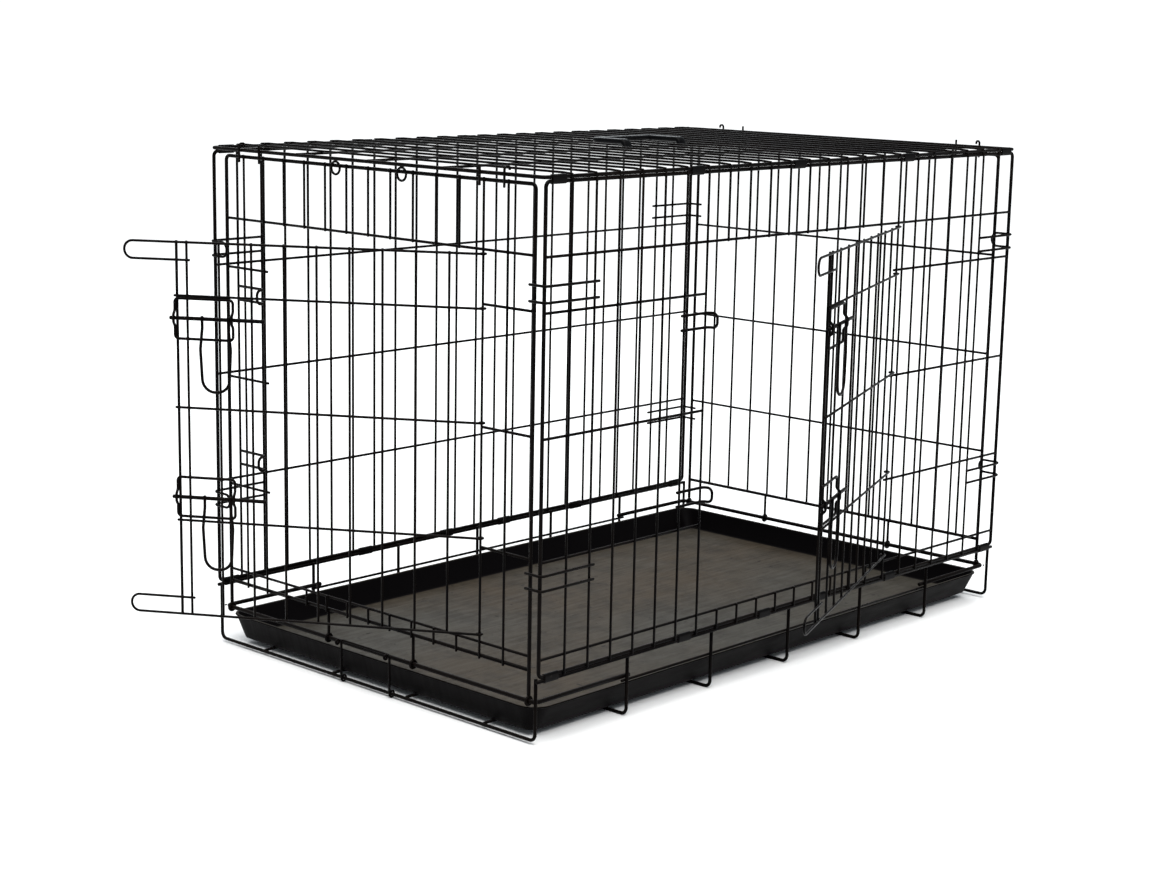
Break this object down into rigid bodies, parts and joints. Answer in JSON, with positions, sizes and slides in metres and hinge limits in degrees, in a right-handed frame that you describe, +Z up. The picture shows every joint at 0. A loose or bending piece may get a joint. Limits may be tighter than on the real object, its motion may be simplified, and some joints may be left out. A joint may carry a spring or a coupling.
{
  "type": "wire dog crate",
  "caption": "Folding wire dog crate with a front door, a side door, slide-bolt latches, a slide-out plastic tray and a carry handle on top.",
  "frame": {"origin": "on the floor under the middle of the crate, without its open doors", "axes": "+X runs along the crate from the front end with its door to the plain rear end, +Y across it from the long side with the doorway to the plain long side, +Z up"},
  "size_m": [1.1472, 0.7451, 0.6454],
  "materials": {
    "black_wire": "satin",
    "black_clip": "satin",
    "tray_plastic": "matte",
    "handle_plastic": "satin"
  },
  "bodies": {
    "crate": {"base_legs": "black_wire", "base_rails": "black_wire", "base_end_bars": "black_wire", "base_side_bars": "black_wire", "base_floor_wires": "black_wire", "near_side_frame": "black_wire", "near_side_bars": "black_wire", "near_side_rails": "black_wire", "near_side_keepers": "black_wire", "far_side_frame": "black_wire", "far_side_bars": "black_wire", "far_side_rails": "black_wire", "far_side_keepers": "black_wire", "side_door_receivers": "black_wire", "top_frame": "black_wire", "top_cross_wires": "black_wire", "top_long_wires": "black_wire", "top_hooks": "black_wire", "top_edge_clips": "black_clip", "bottom_edge_clips": "black_clip"},
    "front_panel": {"front_frame": "black_wire", "front_bars": "black_wire", "front_rails": "black_wire", "front_hinge_eyes": "black_wire", "front_pull_rings": "black_wire", "front_door_receivers": "black_wire"},
    "rear_panel": {"rear_frame": "black_wire", "rear_bars": "black_wire", "rear_rails": "black_wire", "rear_hinge_eyes": "black_wire"},
    "front_door": {"front_door_bars": "black_wire", "front_door_rails": "black_wire", "front_door_hinge_curls": "black_wire", "front_door_guides": "black_wire"},
    "side_door": {"side_door_bars": "black_wire", "side_door_rails": "black_wire", "side_door_hinge_curls": "black_wire", "side_door_guides": "black_wire"},
    "front_lower_bolt": {"front_lower_bolt": "black_wire"},
    "front_upper_bolt": {"front_upper_bolt": "black_wire"},
    "side_lower_bolt": {"side_lower_bolt": "black_wire"},
    "side_upper_bolt": {"side_upper_bolt": "black_wire"},
    "tray": {"tray": "tray_plastic"},
    "tray_stop": {"tray_stop": "black_wire"},
    "carry_handle": {"carry_handle": "handle_plastic"}
  },
  "joints": [
    {"name": "front_panel_fold", "type": "hinge", "parent": "crate", "child": "front_panel", "pos_m": [-0.45273, 0, 0.048], "axis": [0, -1, 0], "range_deg": [-86.5, 0]},
    {"name": "rear_panel_fold", "type": "hinge", "parent": "crate", "child": "rear_panel", "pos_m": [0.45273, 0, 0.048], "axis": [0, 1, 0], "range_deg": [-90, 0]},
    {"name": "front_door_swing", "type": "hinge", "parent": "front_panel", "child": "front_door", "pos_m": [-0.4559, -0.1905, 0.3], "axis": [0, 0, 1], "range_deg": [-32.5, 132.5]},
    {"name": "side_door_swing", "type": "hinge", "parent": "crate", "child": "side_door", "pos_m": [0.1905, -0.28892, 0.3], "axis": [0, 0, 1], "range_deg": [-22.5, 142.5]},
    {"name": "front_lower_bolt_slide", "type": "slide", "parent": "front_door", "child": "front_lower_bolt", "axis": [-0.5373, 0.8434, 0], "range_m": [0, 0.03]},
    {"name": "front_upper_bolt_slide", "type": "slide", "parent": "front_door", "child": "front_upper_bolt", "axis": [-0.5373, 0.8434, 0], "range_m": [0, 0.03]},
    {"name": "side_lower_bolt_slide", "type": "slide", "parent": "side_door", "child": "side_lower_bolt", "axis": [-0.9239, -0.3827, 0], "range_m": [0, 0.03]},
    {"name": "side_upper_bolt_slide", "type": "slide", "parent": "side_door", "child": "side_upper_bolt", "axis": [-0.9239, -0.3827, 0], "range_m": [0, 0.03]},
    {"name": "tray_slide", "type": "slide", "parent": "crate", "child": "tray", "axis": [1, 0, 0], "range_m": [0, 0.8]},
    {"name": "tray_stop_swing", "type": "hinge", "parent": "crate", "child": "tray_stop", "pos_m": [-0.4572, 0, 0.005], "axis": [0, -1, 0], "range_deg": [0, 78]},
    {"name": "carry_handle_swing", "type": "hinge", "parent": "crate", "child": "carry_handle", "pos_m": [0.043, 0, 0.6332], "axis": [1, 0, 0], "range_deg": [0, 120]}
  ]
}
